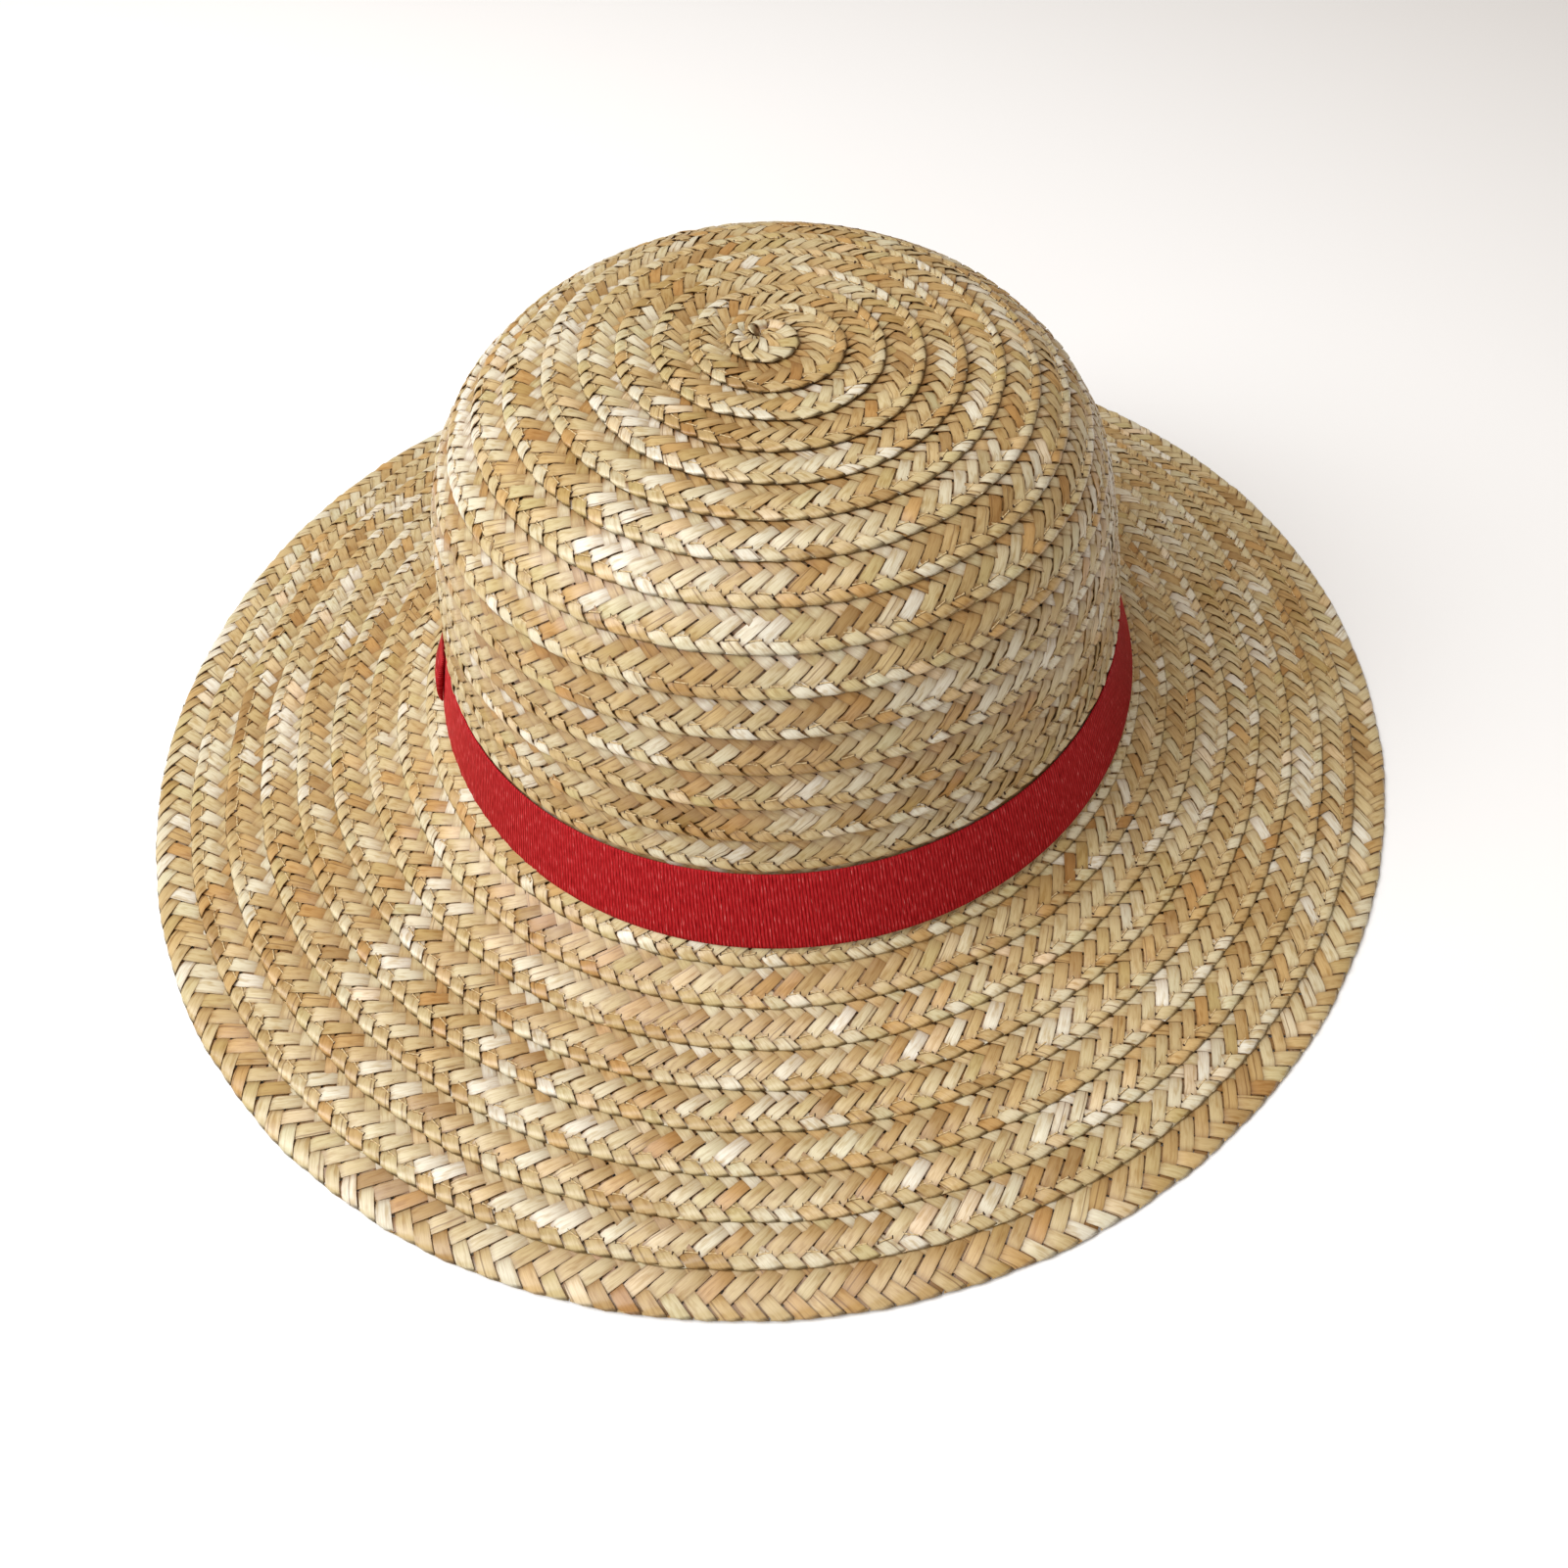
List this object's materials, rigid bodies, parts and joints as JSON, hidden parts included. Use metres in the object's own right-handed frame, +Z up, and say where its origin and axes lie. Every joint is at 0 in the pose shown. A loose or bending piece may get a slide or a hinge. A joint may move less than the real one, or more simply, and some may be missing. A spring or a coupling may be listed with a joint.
{
  "type": "straw sun hat",
  "caption": "Round-crowned sewn straw hat: a coil of lapped plait turns forms the crown and flat brim, with a ribbon band and an inner sweatband.",
  "frame": {"origin": "on the table plane under the middle of the hat, which rests on its brim edge", "axes": "+Z up through the crown, -Y to the wearer's front, +X to the side away from the ribbon keeper"},
  "size_m": [0.3362, 0.3494, 0.1123],
  "materials": {
    "straw": "seven-end flat plait of split straw, natural, satin",
    "ribbon": "red grosgrain, fine cross ribs",
    "sweatband": "plain woven cotton tape",
    "sewing_thread": "fine twisted cotton thread"
  },
  "bodies": {
    "root": {"crown_start_coil": "straw", "crown_row_02": "straw", "crown_row_03": "straw", "crown_row_04": "straw", "crown_row_05": "straw", "crown_row_06": "straw", "crown_row_07": "straw", "crown_row_08": "straw", "crown_row_09": "straw", "crown_row_10": "straw", "crown_row_11": "straw", "crown_row_12": "straw", "crown_row_13": "straw", "crown_row_14": "straw", "crown_row_15": "straw", "crown_row_16": "straw", "crown_row_17": "straw", "crown_row_18": "straw", "brim_row_01": "straw", "brim_row_02": "straw", "brim_row_03": "straw", "brim_row_04": "straw", "brim_row_05": "straw", "brim_row_06": "straw", "brim_row_07": "straw", "brim_row_08": "straw", "braid_thread": "sewing_thread", "ribbon_band": "ribbon", "ribbon_keeper": "ribbon", "sweatband": "sweatband", "sweatband_thread": "sewing_thread"}
  },
  "joints": []
}
